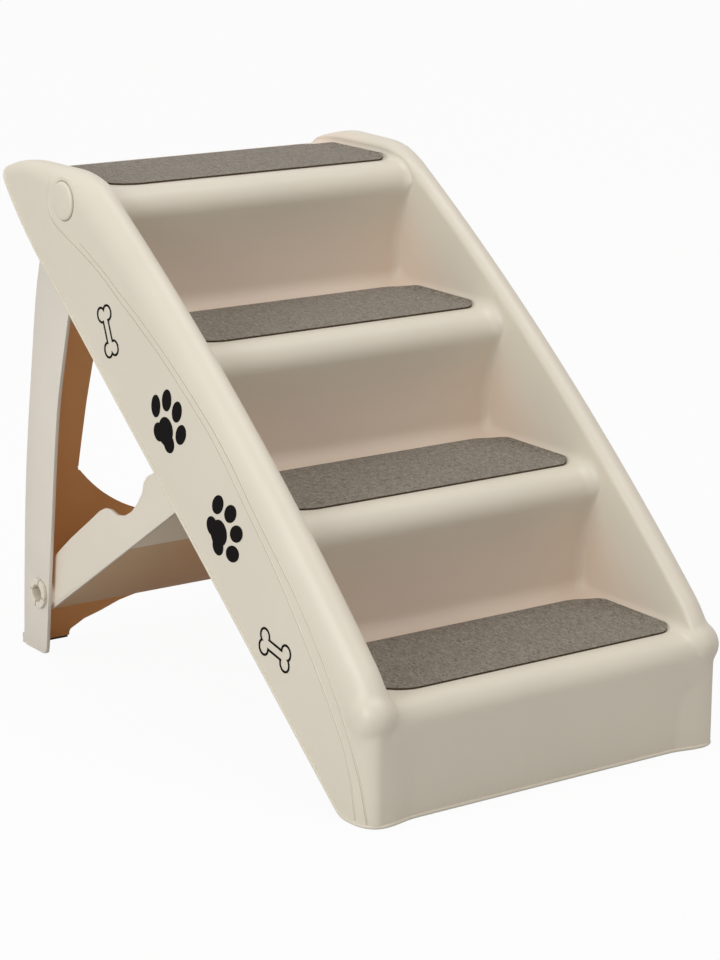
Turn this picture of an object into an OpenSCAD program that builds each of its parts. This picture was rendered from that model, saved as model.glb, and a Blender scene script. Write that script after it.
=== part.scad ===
// Four-step pet stairs: a moulded shell with felt treads, a folding rear leg and its brace.
// Millimetres. X runs across, the front faces -Y, the floor is Z = 0.
// Side outlines are drawn in (Y, Z) and extruded along X.

/* [Overall] */
// Depth over everything, front to back
overall_d = 620; // [616:1:624]
// Width over the flat side skins
shell_w = 391; // [386:1:396]
// Wall of the moulded shell
wall_t = 3; // [2.8:0.1:3.2]
// How far the moulded rim stands over the floor on its rubber pads
rim_z = 1; // [0.8:0.1:1.5]

/* [Steps] */
// Height of the first tread over the floor
first_tread_h = 106; // [104:1:108]
// Rise from one tread to the next
step_rise = 123; // [122:0.5:124]
// Run from one tread to the next
step_run = 148.8; // [148:0.1:149.4]
// Radius of each rounded nose
nose_r = 20; // [18:1:21]
// How far each riser sits behind its nose at the foot
undercut = 17; // [15:0.5:18]
// Radius of the hollow riser
riser_r = 140; // [130:1:150]
// Radius between a tread and the next riser
corner_r = 15; // [13:0.5:16]
// Set-back of the first nose behind the front end
nose_back = 4.2; // [4:0.1:5]
// Set-back of the bottom panel behind the front end
panel_back = 9.5; // [8.5:0.5:10.5]
// Depth of the rear skirt under the top tread
skirt_h = 9; // [7:1:12]
// Set-back of the rear skirt
skirt_back = 2; // [2:0.5:4]
// Fold radius at the back of the top tread
fold_r = 6; // [5:0.5:7]

/* [Rails] */
// Width of each rail
rail_w = 29; // [28:0.5:30]
// Height of the rail crest over the top tread
crest_rise = 16; // [15:0.5:18]
// Radius of the rail's inner edge
rail_edge_r = 9; // [8:0.5:10]
// Width of the rail's outer rounding
round_w = 18; // [17:0.5:19]
// Height of the rail's outer rounding
round_h = 20; // [18:0.5:21]
// Set-back of the rail columns behind the front end
rail_back = 4; // [3.8:0.1:4.2]
// Height of the straight front column
column_h = 79; // [76:1:82]
// Radius from the column into the long ridge
front_r = 78.6; // [76:0.2:82]
// Radius of the long, nearly straight ridge
ridge_r = 2690; // [2500:10:2900]
// Radius of the crest
crest_r = 100; // [95:1:105]
// Length of the level stretch at the crest
crest_flat = 56.3; // [52:0.1:60]
// Radius of the ridge down to the rear end
tail_r = 156; // [150:1:162]
// Length of the foot under each side skin
foot_len = 38; // [35:1:41]
// How much flatter the underside runs than the steps, in degrees
under_lean = 1.07; // [0.8:0.01:1.3]
// Radius that turns the underside up to the rear end
under_r = 450; // [430:5:480]
// Radius of the ball on each front column
ball_r = 30.5; // [29.5:0.1:30.5]
// Half height of that ball
ball_h = 22; // [20:0.5:23]

/* [Leg] */
// Thickness of the leg's moulding
leg_t = 3.5; // [3.2:0.1:3.8]
// Gap from the side skin's inner face to the leg
leg_gap = 4.5; // [4.3:0.1:4.8]
// Radius of the ear round the pivot
ear_r = 19.5; // [18:0.5:20]
// Thickness of the rear web
web_t = 3; // [2.8:0.1:3.4]
// Radius of the bowl-shaped opening in the web
bowl_r = 165; // [155:1:175]
// Depth of the lip behind each rear foot
lip_d = 5.8; // [5:0.1:6.4]

// Corner radius of each foot
foot_corner_r = 4.5; // [3:0.5:5]

/* [Brace] */
// Thickness of the brace's moulding
brace_t = 3; // [2.8:0.1:3.3]
// Gap from the leg's inner face to the brace wall
brace_gap = 4; // [3.8:0.1:4.5]
// Radius of the snap stub
stub_r = 12; // [11:0.5:13]
// Radius of the snap stub's rim
stub_rim_r = 14.8; // [14:0.2:16]
// Radius of the stub's open core
stub_core_r = 8.6; // [8:0.2:9]
// Radius of the brace's rounded end
heel_r = 18.5; // [17.5:0.5:19]

/* [Pivot] */
// Shank radius of the pivot pin
pin_r = 8; // [7:0.5:9]
// Head radius of the pivot pin
head_r = 18.5; // [17:0.5:19]
// How far the head stands proud of the skin
head_proud = 2; // [1.5:0.1:2.5]
// Depth of the recess for the head
recess_d = 2.5; // [2:0.1:2.8]
// Outer radius of the retaining clip
clip_r = 14; // [13:0.5:15]

/* [Mats, pads and prints] */
// Depth of each tread mat
mat_d = 120; // [112:1:121]
// How far each mat's front edge lies behind the line where the tread starts to round off
mat_setback = 9.5; // [6:0.5:9.5]
// Gap between each tread mat and the side wall beside it
mat_inset = 11.5; // [8:0.5:16]
// Thickness of each tread mat
mat_t = 2; // [1.5:0.5:3]
// Corner radius of each tread mat
mat_corner_r = 28; // [20:1:34]
// Thickness of the rubber pads
pad_t = 2; // [1.8:0.1:2.6]
// Thickness of the printed marks
print_t = 0.4; // [0.3:0.1:0.6]
// Size of a paw print across its outer toes
paw_w = 62; // [54:1:68]
// Length of a bone mark
bone_l = 46; // [38:1:50]

/* [Output] */
// Which piece to draw

/* [Hidden] */
$fn = 96;
cut = 1;            // overrun of a cutting body past the face it opens
run_gap = 0.3;      // gap between pieces that pass each other
fit = 0.05;         // radial play of a running fit
steps = 4;
half_d = overall_d / 2;
outer_x = shell_w / 2;
inner_x = outer_x - rail_w;
mat_half_w = inner_x - mat_inset;
rail_top = first_tread_h + (steps - 1) * step_rise + crest_rise;
shell_color = [0.85, 0.82, 0.75];
leg_color = [0.82, 0.80, 0.75];
mat_color = [0.47, 0.45, 0.41];
pad_color = [0.30, 0.29, 0.28];
print_color = [0.10, 0.09, 0.09];

// Steps: nose centres, riser faces and the tangent angle where riser meets nose
nose_y = nose_back + nose_r - half_d;
function nose_c(i) = [nose_y + i * step_run, first_tread_h - nose_r + i * step_rise];
function riser_y(i) = nose_back + undercut - half_d + i * step_run;
riser_dy = nose_r - undercut + riser_r;
riser_dz = sqrt(pow(nose_r + riser_r, 2) - pow(riser_dy, 2));
riser_a = atan2(riser_dz, riser_dy);
panel_foot = [panel_back - half_d, rim_z];
panel_v = panel_foot - nose_c(0);
panel_a = atan2(panel_v[1], panel_v[0]) + 360 - acos(nose_r / norm(panel_v));
skirt_y = half_d - skirt_back;
top_tread_z = first_tread_h + (steps - 1) * step_rise;

// Inclined frame of the underside: s along it, n square to it
under_a = atan2(step_rise, step_run) - under_lean;
function sn(s, n) = [s * cos(under_a) - n * sin(under_a), s * sin(under_a) + n * cos(under_a)];
function s_of(p) = p[0] * cos(under_a) + p[1] * sin(under_a);
function n_of(p) = p[1] * cos(under_a) - p[0] * sin(under_a);

// Rails: the long ridge touches the front and the crest circles from inside
rail_y = rail_back - half_d;
foot_y = rail_y + foot_len;
front_c = [rail_y + front_r, column_h];
crest_y_share = 0.6248;
crest_c = [half_d * crest_y_share, rail_top - crest_r];
ridge_gap = norm(crest_c - front_c);
ridge_near = ridge_r - front_r;
ridge_far = ridge_r - crest_r;
ridge_along = (ridge_near * ridge_near - ridge_far * ridge_far + ridge_gap * ridge_gap) / (2 * ridge_gap);
ridge_off = sqrt(ridge_near * ridge_near - ridge_along * ridge_along);
ridge_dir = (crest_c - front_c) / ridge_gap;
ridge_c = front_c + ridge_along * ridge_dir + ridge_off * [ridge_dir[1], -ridge_dir[0]];
ridge_a1 = atan2(front_c[1] - ridge_c[1], front_c[0] - ridge_c[0]);
ridge_a2 = atan2(crest_c[1] - ridge_c[1], crest_c[0] - ridge_c[0]);
tail_c = [crest_c[0] + crest_flat, rail_top - tail_r];
tail_a = acos((half_d - tail_c[0]) / tail_r);
cap_leg = 2 * round_h;
cap_lap = 1.8 * round_h;

// Underside: straight from the foot, then an arc up to the rear end
foot_back = [foot_y, rim_z];
bend_share = 0.937;
bend_s = s_of(foot_back) + bend_share * (s_of([half_d, rail_top]) - s_of(foot_back)) * 0.99;
bend_p = sn(bend_s, n_of(foot_back));
under_c = bend_p + under_r * [-sin(under_a), cos(under_a)];
under_end_a = acos((half_d - under_c[0]) / under_r);

// Joints: the ear pivot and the brace hub, as shares of the half depth and the rail top
pivot_shares = [0.616, 0.942];
hub_shares = [0.845, 0.1263];
function at(shares) = [shares[0] * half_d, shares[1] * rail_top];
pivot = at(pivot_shares);
hub = at(hub_shares);
skin_x = outer_x - wall_t;
leg_x = skin_x - leg_gap;
leg_in_x = leg_x - leg_t;
brace_x = leg_in_x - brace_gap;
brace_in_x = brace_x - brace_t;
boss_x = leg_x + run_gap + cut / 2;
pad_boss_r = 1.19 * head_r;
stop_drop = 0.38 * ear_r;

// The corner under the second tread, where the brace hooks in
hook_corner = [riser_y(2) - corner_r, first_tread_h + step_rise + corner_r];
hook_s = s_of(hook_corner);
hook_n = n_of(hook_corner) - corner_r - wall_t;

function arc(c, r, a0, a1, count) = [for (k = [0:count]) c + r * [cos(a0 + (a1 - a0) * k / count),
    sin(a0 + (a1 - a0) * k / count)]];
function flip(points) = [for (k = [len(points) - 1:-1:0]) points[k]];

// Visible line of the steps, moved inward by t
function step_line(t) = concat(
    [panel_foot - t * [cos(panel_a), sin(panel_a)]],
    arc(nose_c(0), nose_r - t, panel_a, 90, 10),
    [for (i = [1:steps - 1]) each concat(
        arc([riser_y(i) - corner_r, nose_c(i - 1)[1] + nose_r + corner_r], corner_r + t, -90, 0, 7),
        arc([riser_y(i) - riser_r, nose_c(i)[1] - riser_dz], riser_r + t, 0, riser_a, 6),
        arc(nose_c(i), nose_r - t, 180 + riser_a, 90, 12)
    )],
    arc([skirt_y - fold_r, top_tread_z - fold_r], fold_r - t, 90, 0, 5),
    [[skirt_y - t, top_tread_z - skirt_h]]
);

// Stations along the ridge, each a point and its inward direction
function toward(a) = [cos(a), sin(a)];
function turn_stations(c, r, a0, a1, count) =
    [for (k = [0:count]) let (a = a0 + (a1 - a0) * k / count) [c + r * toward(a), -toward(a)]];
function tail_of(list) = [for (k = [1:len(list) - 1]) list[k]];
function stations(drop, short = 0) = concat(
    [[[rail_y, rim_z - drop], [1, 0]]],
    turn_stations(front_c, front_r, 180, ridge_a1, 5),
    tail_of(turn_stations(ridge_c, ridge_r, ridge_a1, ridge_a2, 6)),
    tail_of(turn_stations(crest_c, crest_r, ridge_a2, 90, 4)),
    turn_stations(tail_c, tail_r, 90, tail_a + short, 3)
);

// Line of the rail's ridge, moved inward by d and ended short by an angle
function rail_line(d, short = 0) = [for (p = stations(0, short)) p[0] + d * p[1]];

// Section of the rail at offset o, as [depth under the ridge, x]
function rail_ring(o) = concat(
    [[cap_leg, inner_x + o]],
    [for (a = [0:30:90]) [rail_edge_r - (rail_edge_r - o) * sin(a),
        inner_x + rail_edge_r - (rail_edge_r - o) * cos(a)]],
    [for (a = [0:18:90]) [round_h - (round_h - o) * cos(a), outer_x - round_w + (round_w - o) * sin(a)]],
    [[cap_leg, outer_x - o]]
);

// Draws a (Y, Z) outline as a slab from x0 to x1
module slab(x0, x1) {
    rotate(a = 120, v = [1, 1, 1])
        translate([0, 0, x0])
            linear_extrude(x1 - x0)
                children();
}

module both_sides() {
    children();
    mirror([1, 0, 0]) children();
}

// A round bar along X, from x0 to x1
module bar(p, r, x0, x1) {
    translate([x0, p[0], p[1]])
        rotate([0, 90, 0])
            cylinder(h = x1 - x0, r = r);
}

// The rail's rounded cap along the whole ridge, solid at offset 0 or its hollow at the wall
module rail_cap(o) {
    ring = rail_ring(o);
    path = stations(o > 0 ? cut : 0, asin(o / tail_r));
    m = len(ring);
    last = len(path) - 1;
    polyhedron(
        points = [for (p = path, q = ring) [q[1], p[0][0] + q[0] * p[1][0], p[0][1] + q[0] * p[1][1]]],
        faces = concat(
            [[for (j = [0:m - 1]) j]],
            [for (k = [0:last - 1], j = [0:m - 1]) [k * m + j, (k + 1) * m + j,
                (k + 1) * m + (j + 1) % m, k * m + (j + 1) % m]],
            [[for (j = [m - 1:-1:0]) last * m + j]]
        )
    );
}

// Everything over the underside line, taller than the rails
module side_limit() {
    polygon(concat(
        [[-overall_d, rim_z], foot_back],
        arc(under_c, under_r, under_a - 90, -under_end_a, 12),
        [[overall_d, rail_top], [overall_d, 2 * rail_top], [-overall_d, 2 * rail_top]]
    ));
}

// Everything under the moulded skin of the steps
module under_steps(x0, x1) {
    slab(x0, x1)
        polygon(concat(
            [[panel_foot[0] + wall_t, -cut]],
            step_line(wall_t),
            [[overall_d, top_tread_z - skirt_h], [overall_d, -cut]]
        ));
}

module rail_skin() {
    union() {
        rail_cap(0);
        slab(inner_x, outer_x)
            polygon(concat(rail_line(cap_lap), [[half_d, rim_z]]));
        column_ball();
    }
}

// One side of the shell, hollow from below
module rail() {
    line = rail_line(1.05 * cap_lap, asin(1.5 * wall_t / tail_r));
    difference() {
        intersection() {
            rail_skin();
            slab(inner_x - rail_w, outer_x + cut) side_limit();
        }
        rail_cap(wall_t);
        slab(inner_x + wall_t, skin_x)
            polygon(concat([[line[0][0], -cut]], line, [[line[len(line) - 1][0], -cut]]));
        under_steps(inner_x - rail_w - cut, inner_x + wall_t + cut);
    }
}

// Ball that ends the first nose on the column
module column_ball() {
    ball_c = [inner_x + 0.66 * wall_t, half_d - ball_r];
    ball_z = nose_c(0)[1] + 0.6 * nose_r;
    dome = [for (a = [-75:15:75]) [ball_r * cos(a), ball_h * sin(a)]];
    intersection() {
        translate([ball_c[0], -ball_c[1], ball_z])
            rotate_extrude()
                polygon(concat([[0, -ball_h]], dome, [[0, ball_h]]));
        union() {
            translate([inner_x, -half_d - cut, 0]) cube([rail_w, 2 * ball_r, rail_top]);
            translate([mat_half_w, -half_d - cut, 0]) cube([rail_w, nose_back + nose_r / 3, rail_top]);
        }
    }
}

// Boss, stop rib, foot plate and catch inside one side
module side_ribs() {
    bar(pivot, pad_boss_r, boss_x, outer_x);
    stop_y = pivot[0] + ear_r + 2 * cut;
    translate([leg_in_x, stop_y, pivot[1] - stop_drop + run_gap])
        cube([skin_x - leg_in_x + wall_t / 3, ear_r, 0.9 * ear_r]);
    translate([brace_x + 2 * cut, rail_y + round_h, pad_t])
        cube([skin_x - brace_x - cut, foot_len - round_h - cut, wall_t]);
}

module hook_catch() {
    lead = 0.4 * corner_r + wall_t / 6;
    back = lead + 2 * wall_t;
    mid_r = corner_r + wall_t / 2;
    function seat_n(ds) = hook_n + corner_r + wall_t - sqrt(mid_r * mid_r - ds * ds);
    slab(-mat_half_w, mat_half_w)
        polygon([
            sn(hook_s + lead, hook_n - 0.6 * corner_r),
            sn(hook_s + back, hook_n - 0.6 * corner_r),
            sn(hook_s + back, seat_n(back)),
            sn(hook_s + lead, seat_n(lead))
        ]);
}

module stair_shell() {
    color(shell_color) difference() {
        union() {
            slab(-inner_x - wall_t / 2, inner_x + wall_t / 2)
                polygon(concat(step_line(0), flip(step_line(wall_t))));
            both_sides() rail();
            both_sides() side_ribs();
            hook_catch();
        }
        both_sides() bar(pivot, pin_r + fit, leg_x, outer_x + cut);
        both_sides() bar(pivot, head_r + 0.5 * cut, outer_x - recess_d, outer_x + cut);
    }
}

module tread_mat(i) {
    color(mat_color)
        translate([0, nose_c(i)[0] + mat_setback, nose_c(i)[1] + nose_r])
            linear_extrude(mat_t)
                mat_outline();
}

module mat_outline() {
    flat_w = mat_half_w - mat_corner_r;
    union() {
        translate([-flat_w, 0]) square([2 * flat_w, mat_d]);
        translate([-mat_half_w, mat_corner_r]) square([2 * mat_half_w, mat_d - 2 * mat_corner_r]);
        for (x = [-flat_w, flat_w], y = [mat_corner_r, mat_d - mat_corner_r])
            translate([x, y]) circle(r = mat_corner_r);
    }
}

// Leg outlines, as shares of the half depth and the rail top
leg_back_shares = [[0.952, 0.002], [0.941, 0.179], [0.923, 0.348], [0.900, 0.475], [0.881, 0.558],
    [0.842, 0.723], [0.813, 0.800], [0.785, 0.860]];
leg_front_shares = [[0.813, 0.002], [0.803, 0.035], [0.784, 0.163], [0.761, 0.289], [0.739, 0.415],
    [0.710, 0.540], [0.639, 0.715], [0.572, 0.865]];
function foot_line(shares) = smooth([for (p = shares) p == shares[0] ? [p[0] * half_d, rim_z] : at(p)], 4);

// Smooth line through the points, with n steps from each one to the next
function bow(p, q, r, s, t) =
    q + t / 2 * (r - p) + t * t / 2 * (2 * p - 5 * q + 4 * r - s) + t * t * t / 2 * (3 * q - p - 3 * r + s);
function smooth(list, n) = concat(
    [for (k = [0:len(list) - 2], j = [0:n - 1])
        bow(list[max(k - 1, 0)], list[k], list[k + 1], list[min(k + 2, len(list) - 1)], j / n)],
    [list[len(list) - 1]]
);

module leg_outline() {
    back = foot_line(leg_back_shares);
    front = foot_line(leg_front_shares);
    union() {
        polygon(concat(
            arc(back[0] + [-foot_corner_r, foot_corner_r], foot_corner_r, -90, 0, 4),
            tail_of(back),
            [[pivot[0] + 2.2 * ear_r, pivot[1] - stop_drop], [pivot[0] + 0.5 * ear_r,
                pivot[1] - stop_drop], pivot],
            flip(tail_of(front)),
            arc(front[0] + [foot_corner_r, foot_corner_r], foot_corner_r, 180, 270, 4)
        ));
        translate(pivot) circle(r = ear_r);
    }
}

// Front view of the rear web, half of it: strips, bowl opening and foot arch
module web_outline() {
    web_top = 0.8 * rail_top;
    arm_top = 0.735 * rail_top;
    bowl_z = 0.228 * rail_top + bowl_r;
    arm_x = 0.64 * leg_x;
    difference() {
        translate([0, rim_z]) square([leg_x, web_top - rim_z]);
        intersection() {
            translate([0, bowl_z]) circle(r = bowl_r);
            square([0.7 * leg_x, bowl_z - 0.6 * bowl_r]);
        }
        polygon([
            [-cut, 0.35 * rail_top], [0.697 * leg_x, 0.354 * rail_top], [0.665 * leg_x, 0.501 * rail_top],
            [arm_x, 0.593 * rail_top], [arm_x + 0.02 * leg_x, arm_top - 0.02 * rail_top], [inner_x,
                arm_top],
            [inner_x + wall_t, web_top + cut], [-cut, web_top + cut]
        ]);
        polygon([
            [-cut, -cut], [0.75 * leg_x, -cut], [0.729 * leg_x, 0.016 * rail_top], [0.644 * leg_x,
                0.033 * rail_top],
            [0.548 * leg_x, 0.043 * rail_top], [0.426 * leg_x, 0.059 * rail_top], [0.33 * leg_x,
                0.066 * rail_top], [-cut, 0.077 * rail_top]
        ]);
    }
}

module leg_frame() {
    back = foot_line(leg_back_shares);
    color(leg_color) difference() {
        union() {
            both_sides() slab(leg_in_x, leg_x) leg_outline();
            intersection() {
                slab(-leg_x, leg_x)
                    polygon(concat(back, [for (p = flip(back)) p - [web_t, 0]]));
                both_sides()
                    translate([0, overall_d, 0])
                        rotate([90, 0, 0])
                            linear_extrude(overall_d) web_outline();
            }
            both_sides()
                translate([0.735 * leg_x, back[0][0] - web_t, pad_t])
                    cube([0.265 * leg_x, lip_d, 0.02 * rail_top]);
        }
        both_sides() bar(pivot, pin_r + fit, leg_in_x - cut, leg_x + cut);
        both_sides() bar(hub, stub_r + fit, leg_in_x - cut, leg_x + cut);
        both_sides()
            translate([0.735 * leg_x - cut, back[0][0] - web_t - cut, 0])
                cube([0.265 * leg_x + cut, lip_d + 2 * cut, pad_t]);
    }
}

// Brace outlines: the free edge and the crease, as shares of the half depth and the rail top
brace_free_shares = [
    [0.765, 0.222], [0.684, 0.263], [0.571, 0.314], [0.506, 0.344], [0.474, 0.354], [0.442, 0.356],
        [0.400, 0.351],
    [0.358, 0.356], [0.316, 0.371], [0.284, 0.391], [0.256, 0.415], [0.245, 0.438], [0.226, 0.452],
        [0.179, 0.468]
];
crease_shares = [0.337, 0.2933];
tip_shares = [0.0655, 0.4069];
brace_dir = (at(crease_shares) - hub) / norm(at(crease_shares) - hub);
edge_a = atan2(at(tip_shares)[1] - at(crease_shares)[1], at(tip_shares)[0] - at(crease_shares)[0]);
heel_a = edge_a + 90;
hook_lead = 0.4 * corner_r + wall_t / 6 - run_gap;
hook_head = hook_n - 0.3 * corner_r;

module brace_wall() {
    union() {
        polygon(concat(
            [at(crease_shares), at(tip_shares), sn(hook_s - wall_t, hook_n - 0.7 * corner_r),
                sn(hook_s + hook_lead, hook_n - 0.7 * corner_r)],
            flip([for (p = brace_free_shares) at(p)]),
            arc(hub, heel_r, heel_a - 180, heel_a - 360, 12)
        ));
    }
}

module brace_panel() {
    square_out = [cos(heel_a), sin(heel_a)];
    foot = hub + heel_r * square_out;
    crease = at(crease_shares);
    lip_front = hook_s + hook_lead - brace_t;
    lip_back = hook_s + hook_lead;
    lip_foot = hook_n - 0.9 * corner_r;
    color(leg_color) difference() {
        union() {
            both_sides() slab(brace_in_x, brace_x) brace_wall();
            slab(-brace_x + brace_t / 2, brace_x - brace_t / 2)
                polygon([
                    foot, crease, sn(lip_front, lip_foot), sn(lip_front, hook_head), sn(lip_back,
                        hook_head),
                    sn(lip_back, lip_foot), crease - 1.2 * brace_t * square_out, foot - brace_t * square_out
                ]);
            both_sides() bar(hub, 0.9 * heel_r, brace_in_x + brace_t / 2, leg_in_x - run_gap);
            both_sides() bar(hub, stub_r, brace_x, leg_x + 2 * run_gap);
            both_sides() bar(hub, stub_rim_r, leg_x + run_gap, skin_x - run_gap - cut / 2);
        }
        both_sides() bar(hub, stub_core_r, brace_in_x - cut, skin_x);
        both_sides()
            for (a = [15:90:105])
                translate([leg_in_x - cut, hub[0], hub[1]])
                    rotate([a, 0, 0])
                        translate([0, -stub_rim_r - cut, -0.8 * cut])
                            cube([leg_gap + leg_t + cut, 2 * stub_rim_r + 2 * cut, 1.6 * cut]);
    }
}

module pivot_pin() {
    groove_r = 0.8 * pin_r;
    tip_x = inner_x + wall_t + 2 * cut;
    clip_x = leg_in_x - run_gap;
    color(shell_color) difference() {
        translate([0, pivot[0], pivot[1]])
            rotate([0, 90, 0])
                rotate_extrude()
                    polygon([
                        [0, tip_x], [pin_r - cut, tip_x], [pin_r, tip_x + cut], [pin_r, outer_x - recess_d],
                        [head_r, outer_x - recess_d], [head_r, outer_x + 0.3 * head_proud],
                        [0.93 * head_r, outer_x + 0.75 * head_proud], [0.75 * head_r,
                            outer_x + 0.93 * head_proud],
                        [0.4 * head_r, outer_x + head_proud], [0, outer_x + head_proud]
                    ]);
        translate([clip_x - leg_t + run_gap, pivot[0], pivot[1]])
            rotate([0, 90, 0])
                difference() {
                    cylinder(h = leg_t - run_gap, r = 2 * pin_r);
                    translate([0, 0, -cut]) cylinder(h = leg_t + 2 * cut, r = groove_r);
                }
    }
}

module pin_clip() {
    groove_r = 0.8 * pin_r;
    clip_x = leg_in_x - run_gap;
    color(leg_color)
        translate([clip_x - leg_t + run_gap, pivot[0], pivot[1]])
            rotate([0, 90, 0])
                difference() {
                    cylinder(h = leg_t - run_gap, r = clip_r);
                    translate([0, 0, -cut]) cylinder(h = leg_t + 2 * cut, r = groove_r);
                    translate([0, -0.9 * groove_r, -cut]) cube([2 * clip_r, 1.8 * groove_r,
                        leg_t + 2 * cut]);
                }
}

module front_pad() {
    color(pad_color)
        translate([brace_x + 3 * cut, rail_y + round_h + cut, 0])
            cube([skin_x - brace_x - 4 * cut, foot_len - round_h - 3 * cut, pad_t]);
}

module rear_pad() {
    color(pad_color)
        translate([0.745 * leg_x, leg_back_shares[0][0] * half_d - web_t, 0])
            cube([0.24 * leg_x, lip_d, pad_t]);
}

// Printed marks: places and turns as shares, drawn on the right side skin
bone_upper_shares = [0.361, 0.7185];
paw_upper_shares = [0.039, 0.568];
paw_lower_shares = [-0.245, 0.4175];
bone_lower_shares = [-0.534, 0.2485];
paw_upper_turn = 23;
paw_lower_turn = 59;
bone_upper_turn = -22;
bone_lower_turn = -78;

// A mark lies face to face on the flat skin, turned forward from upright
module mark(shares, turn) {
    color(print_color)
        slab(outer_x, outer_x + print_t)
            translate(at(shares))
                rotate(turn)
                    children();
}

module paw_shape() {
    toe = [for (a = [0:20:340]) [0.121 * paw_w * cos(a), 0.172 * paw_w * sin(a)]];
    for (spot = [[-0.37, 0.2, 14], [-0.15, 0.45, 5], [0.15, 0.45, -5], [0.37, 0.2, -14]])
        translate(paw_w * [spot[0], spot[1]])
            rotate(spot[2]) polygon(toe);
    union() {
        translate([-0.15 * paw_w, -0.11 * paw_w]) circle(r = 0.14 * paw_w);
        translate([0.15 * paw_w, -0.11 * paw_w]) circle(r = 0.14 * paw_w);
        translate([0, 0.03 * paw_w]) circle(r = 0.19 * paw_w);
        polygon([
            [-0.24 * paw_w, -0.01 * paw_w], [0.24 * paw_w, -0.01 * paw_w],
            [0.14 * paw_w, -0.21 * paw_w], [-0.14 * paw_w, -0.21 * paw_w]
        ]);
    }
}

module bone_solid(shrink) {
    knob_r = 0.17 * bone_l - shrink;
    for (u = [-1, 1], v = [-1, 1])
        translate([0.12 * v * bone_l, 0.36 * u * bone_l]) circle(r = knob_r);
    square([0.24 * bone_l - 2 * shrink, 0.7 * bone_l], center = true);
}

module bone_shape() {
    difference() {
        bone_solid(0);
        bone_solid(0.045 * bone_l);
    }
}

stair_shell();
tread_mat(0);  // tread_mat_1
tread_mat(1);  // tread_mat_2
tread_mat(2);  // tread_mat_3
tread_mat(3);  // tread_mat_4
leg_frame();
brace_panel();
mirror([1, 0, 0]) pivot_pin();  // pivot_pin_left
pivot_pin();  // pivot_pin_right
mirror([1, 0, 0]) pin_clip();  // pin_clip_left
pin_clip();  // pin_clip_right
mirror([1, 0, 0]) front_pad();  // front_pad_left
front_pad();  // front_pad_right
mirror([1, 0, 0]) rear_pad();  // rear_pad_left
rear_pad();  // rear_pad_right
mirror([1, 0, 0]) mark(bone_upper_shares, bone_upper_turn) bone_shape();  // bone_upper_left
mark(bone_upper_shares, bone_upper_turn) bone_shape();  // bone_upper_right
mirror([1, 0, 0]) mark(paw_upper_shares, paw_upper_turn) paw_shape();  // paw_upper_left
mark(paw_upper_shares, paw_upper_turn) paw_shape();  // paw_upper_right
mirror([1, 0, 0]) mark(paw_lower_shares, paw_lower_turn) paw_shape();  // paw_lower_left
mark(paw_lower_shares, paw_lower_turn) paw_shape();  // paw_lower_right
mirror([1, 0, 0]) mark(bone_lower_shares, bone_lower_turn) bone_shape();  // bone_lower_left
mark(bone_lower_shares, bone_lower_turn) bone_shape();  // bone_lower_right
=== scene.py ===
import math
import bpy
import numpy as np
from mathutils import Matrix, Vector


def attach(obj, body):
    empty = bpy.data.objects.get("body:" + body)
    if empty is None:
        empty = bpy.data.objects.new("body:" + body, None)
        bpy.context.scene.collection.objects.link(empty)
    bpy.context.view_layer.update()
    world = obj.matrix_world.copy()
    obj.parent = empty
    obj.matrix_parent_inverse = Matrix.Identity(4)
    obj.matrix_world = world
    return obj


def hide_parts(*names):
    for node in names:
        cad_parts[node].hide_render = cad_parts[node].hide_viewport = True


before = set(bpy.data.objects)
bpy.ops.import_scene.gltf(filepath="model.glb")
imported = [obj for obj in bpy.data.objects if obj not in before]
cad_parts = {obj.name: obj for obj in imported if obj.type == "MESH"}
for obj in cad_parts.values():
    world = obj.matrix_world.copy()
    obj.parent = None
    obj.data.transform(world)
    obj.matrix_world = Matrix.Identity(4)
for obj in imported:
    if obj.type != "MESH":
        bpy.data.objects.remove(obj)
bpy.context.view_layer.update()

# Stair shell: one moulded body with four treads, their risers and noses, the two
# raised side rails and the front columns. It is a single wall of cream plastic,
# about 3 mm thick and open from below.
MM = 0.001
SLOPE = math.radians(38.5)
SLOPE_ALONG = np.array([math.cos(SLOPE), math.sin(SLOPE)])
WALL = 3.0
TREAD_RISE, TREAD_RUN = 123.0, 148.8
NOSE_R, TREAD_CORNER_R, RISER_R = 20.0, 15.0, 140.0
NOSE_Y, NOSE_Z = -285.8, 86.0
RISER_SETBACK, PANEL_FOOT = 3.0, (-300.5, 1.0)
REAR_FOLD_Y, REAR_FOLD_R, SKIRT_END = 302.0, 6.0, (308.0, 466.0)
COLUMN_Y, REAR_Y = -306.0, 310.0
COLUMN_R, CREST_R, TAIL_R, UNDER_R = 78.6, 100.0, 156.0, 450.0
RAIL_IN, RAIL_OUT = 166.5, 195.5
RAIL_FILLET, BALL_OUT = 13.0, 2.2
ROUND_W, ROUND_D, TURN_LENGTH = 18.0, 30.0, 31.5
COLUMN_LESS, TAIL_LESS_W, TAIL_LESS_D = 4.0, 9.0, 17.0
COLUMN_WIDER, COLUMN_LEAN, LEAN_POWER = 12.5, 23.0, 3.4
PIVOT_Y, PIVOT_Z, PAD_R = 190.96, 462.522, 26.0


def arc_points(cy, cz, r, a0, a1, count):
    angles = np.radians(np.linspace(a0, a1, count + 1))
    return [(cy + r * math.cos(a), cz + r * math.sin(a)) for a in angles]


def straight_points(p, q, count):
    return [tuple(np.array(p) + (np.array(q) - np.array(p)) * k / count) for k in range(count + 1)]


def along(points):
    return np.array(points) @ SLOPE_ALONG


def part_way(value, start, end):
    """0 up to start, 1 from end on, and even in between."""
    return np.clip((value - start) / (end - start), 0, 1)


def ease(t):
    return t * t * (3 - 2 * t)


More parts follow.
